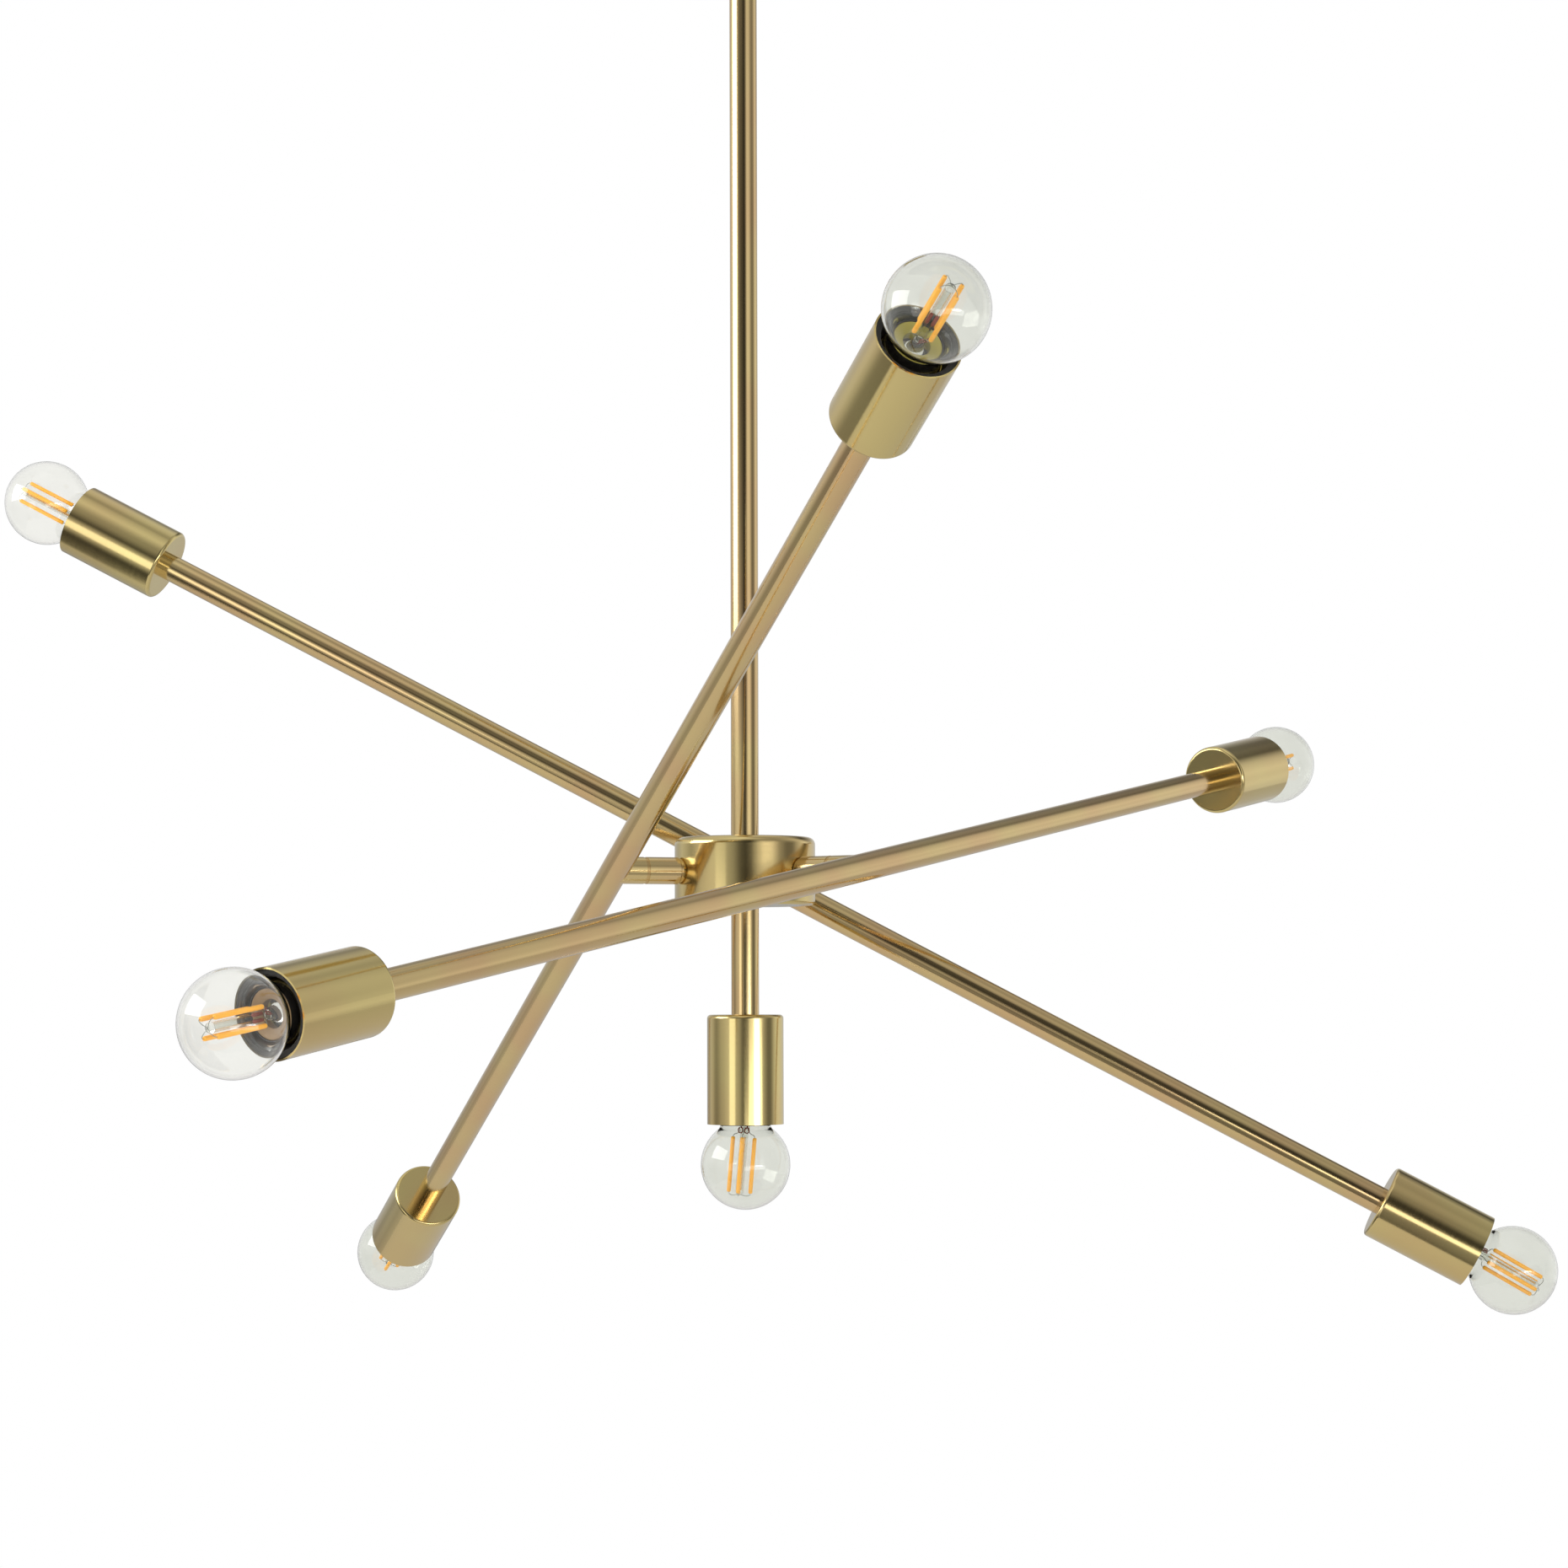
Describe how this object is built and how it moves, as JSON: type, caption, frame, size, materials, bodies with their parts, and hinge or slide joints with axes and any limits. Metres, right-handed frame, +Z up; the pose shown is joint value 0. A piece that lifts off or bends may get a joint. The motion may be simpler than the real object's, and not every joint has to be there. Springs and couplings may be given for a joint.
{
  "type": "sputnik chandelier",
  "caption": "Brass sputnik chandelier: a stem and round hub, double-ended arms that swivel on the hub, and clear globe filament bulbs in cylindrical cups.",
  "frame": {"origin": "middle of the crossbar's two fixing slots, on the ceiling plane", "axes": "+Z up out of the ceiling, -Y towards the side the chandelier is seen from"},
  "size_m": [0.813, 0.7585, 0.7463],
  "materials": {
    "lacquered_brass": "satin brushed and lacquered",
    "black_phenolic": "moulded, semi-matt",
    "clear_glass": "clear blown glass",
    "cap_brass": "rolled thread, plain",
    "contact_brass": "pressed, bright",
    "filament": "phosphor coated filament, amber",
    "lead_sheath": "smooth flexible sheath",
    "plated_steel": "zinc plated",
    "washer_brass": "spring washer, bright",
    "connector_plastic": "moulded"
  },
  "bodies": {
    "fixture": {"bottom_bulb_caps": "cap_brass", "bottom_contacts": "contact_brass", "bottom_cup": "lacquered_brass", "bottom_filaments": "filament", "bottom_globe": "clear_glass", "bottom_lampholder": "black_phenolic", "canopy": "lacquered_brass", "canopy_cap_nuts": "lacquered_brass", "canopy_studs": "plated_steel", "ceiling_crossbar": "plated_steel", "fixture_leads": "lead_sheath", "friction_washers": "washer_brass", "hub_cover": "lacquered_brass", "hub_shell": "lacquered_brass", "left_swivel_spigot": "lacquered_brass", "lock_nuts": "plated_steel", "lower_stem": "lacquered_brass", "rear_swivel_spigot": "lacquered_brass", "retaining_rings": "plated_steel", "right_swivel_spigot": "lacquered_brass", "stem_tube": "lacquered_brass", "threaded_nipples": "plated_steel", "wire_connectors": "connector_plastic"},
    "left_arm": {"left_arm_bulb_caps": "cap_brass", "left_arm_contacts": "contact_brass", "left_arm_filaments": "filament", "left_arm_leads": "lead_sheath", "left_arm_lower_cup": "lacquered_brass", "left_arm_lower_globe": "clear_glass", "left_arm_lower_lampholder": "black_phenolic", "left_arm_swivel_sleeve": "lacquered_brass", "left_arm_tube": "lacquered_brass", "left_arm_upper_cup": "lacquered_brass", "left_arm_upper_globe": "clear_glass", "left_arm_upper_lampholder": "black_phenolic"},
    "right_arm": {"right_arm_bulb_caps": "cap_brass", "right_arm_contacts": "contact_brass", "right_arm_filaments": "filament", "right_arm_leads": "lead_sheath", "right_arm_lower_cup": "lacquered_brass", "right_arm_lower_globe": "clear_glass", "right_arm_lower_lampholder": "black_phenolic", "right_arm_swivel_sleeve": "lacquered_brass", "right_arm_tube": "lacquered_brass", "right_arm_upper_cup": "lacquered_brass", "right_arm_upper_globe": "clear_glass", "right_arm_upper_lampholder": "black_phenolic"},
    "rear_arm": {"rear_arm_bulb_caps": "cap_brass", "rear_arm_contacts": "contact_brass", "rear_arm_filaments": "filament", "rear_arm_leads": "lead_sheath", "rear_arm_lower_cup": "lacquered_brass", "rear_arm_lower_globe": "clear_glass", "rear_arm_lower_lampholder": "black_phenolic", "rear_arm_swivel_sleeve": "lacquered_brass", "rear_arm_tube": "lacquered_brass", "rear_arm_upper_cup": "lacquered_brass", "rear_arm_upper_globe": "clear_glass", "rear_arm_upper_lampholder": "black_phenolic"}
  },
  "joints": [
    {"name": "left_arm_swivel", "type": "hinge", "parent": "fixture", "child": "left_arm", "pos_m": [0, 0, -0.51], "axis": [-0.9272, -0.3746, 0], "range_deg": [-23.3, 66.7]},
    {"name": "right_arm_swivel", "type": "hinge", "parent": "fixture", "child": "right_arm", "pos_m": [0, 0, -0.51], "axis": [0.7997, -0.6004, 0], "range_deg": [-3.6, 86.4]},
    {"name": "rear_arm_swivel", "type": "hinge", "parent": "fixture", "child": "rear_arm", "pos_m": [0, 0, -0.51], "axis": [0.1132, 0.9936, 0], "range_deg": [-21.8, 68.2]}
  ]
}
